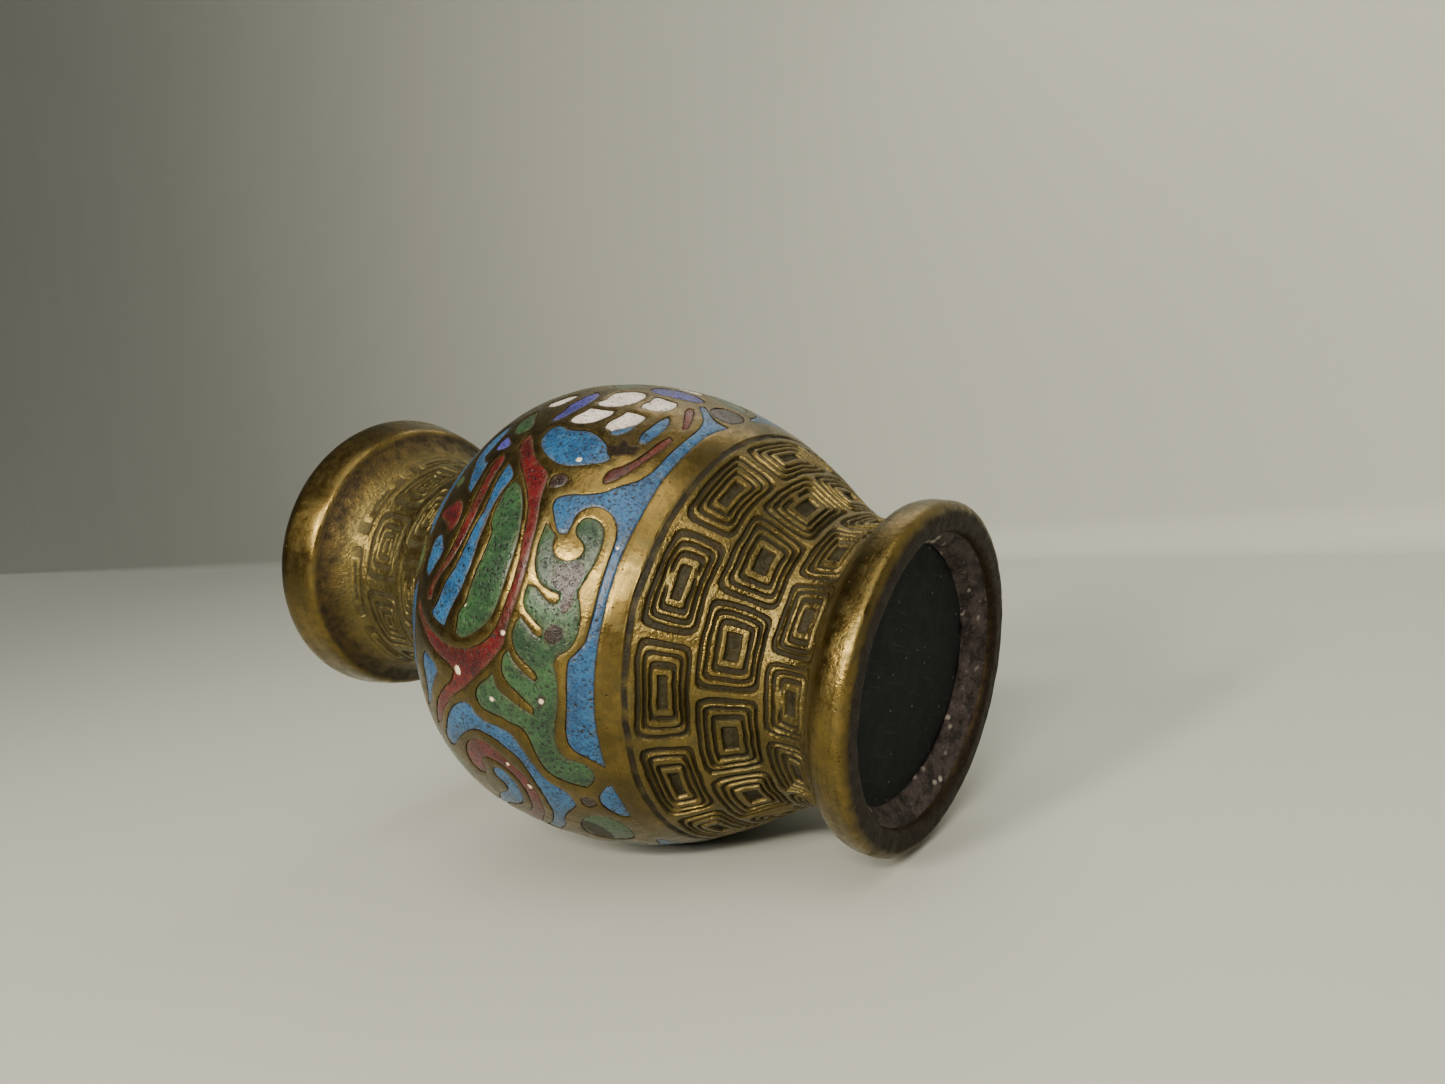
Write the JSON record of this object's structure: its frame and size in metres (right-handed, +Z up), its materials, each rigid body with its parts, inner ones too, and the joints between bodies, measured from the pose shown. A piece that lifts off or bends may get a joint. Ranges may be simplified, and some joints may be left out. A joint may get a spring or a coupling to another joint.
{
  "type": "champleve enamel vase",
  "caption": "Small baluster vase in cast bronze with champleve enamel on belly and shoulder, fret bands, flared lip and foot ring.",
  "frame": {"origin": "centre of the resting face of the foot ring", "axes": "+Z up the vase's axis to the mouth; -Y faces the side of the belly that the main enamel motif is on"},
  "size_m": [0.064, 0.064, 0.1],
  "materials": {
    "bronze": "worn cast bronze, polished on the raised parts, grey-green patina in the sunk ones",
    "dark_bronze": "dull slate-black patina with faint scratches",
    "fillet": "rough grey-mauve solder and cement with cream specks",
    "enamel_sky_blue": "glossy opaque glass with small dark pits",
    "enamel_green": "glossy opaque glass with small dark pits and worn patches",
    "enamel_oxblood": "glossy opaque glass with small dark pits",
    "enamel_white": "satin opaque glass, slightly stained",
    "enamel_cobalt": "satin opaque glass",
    "enamel_aubergine": "dull worn glass"
  },
  "bodies": {
    "root": {"bronze_body": "bronze", "base_plate": "dark_bronze", "base_fillet": "fillet", "enamel_sky_blue": "enamel_sky_blue", "enamel_green": "enamel_green", "enamel_oxblood": "enamel_oxblood", "enamel_white": "enamel_white", "enamel_cobalt": "enamel_cobalt", "enamel_aubergine": "enamel_aubergine"}
  },
  "joints": []
}
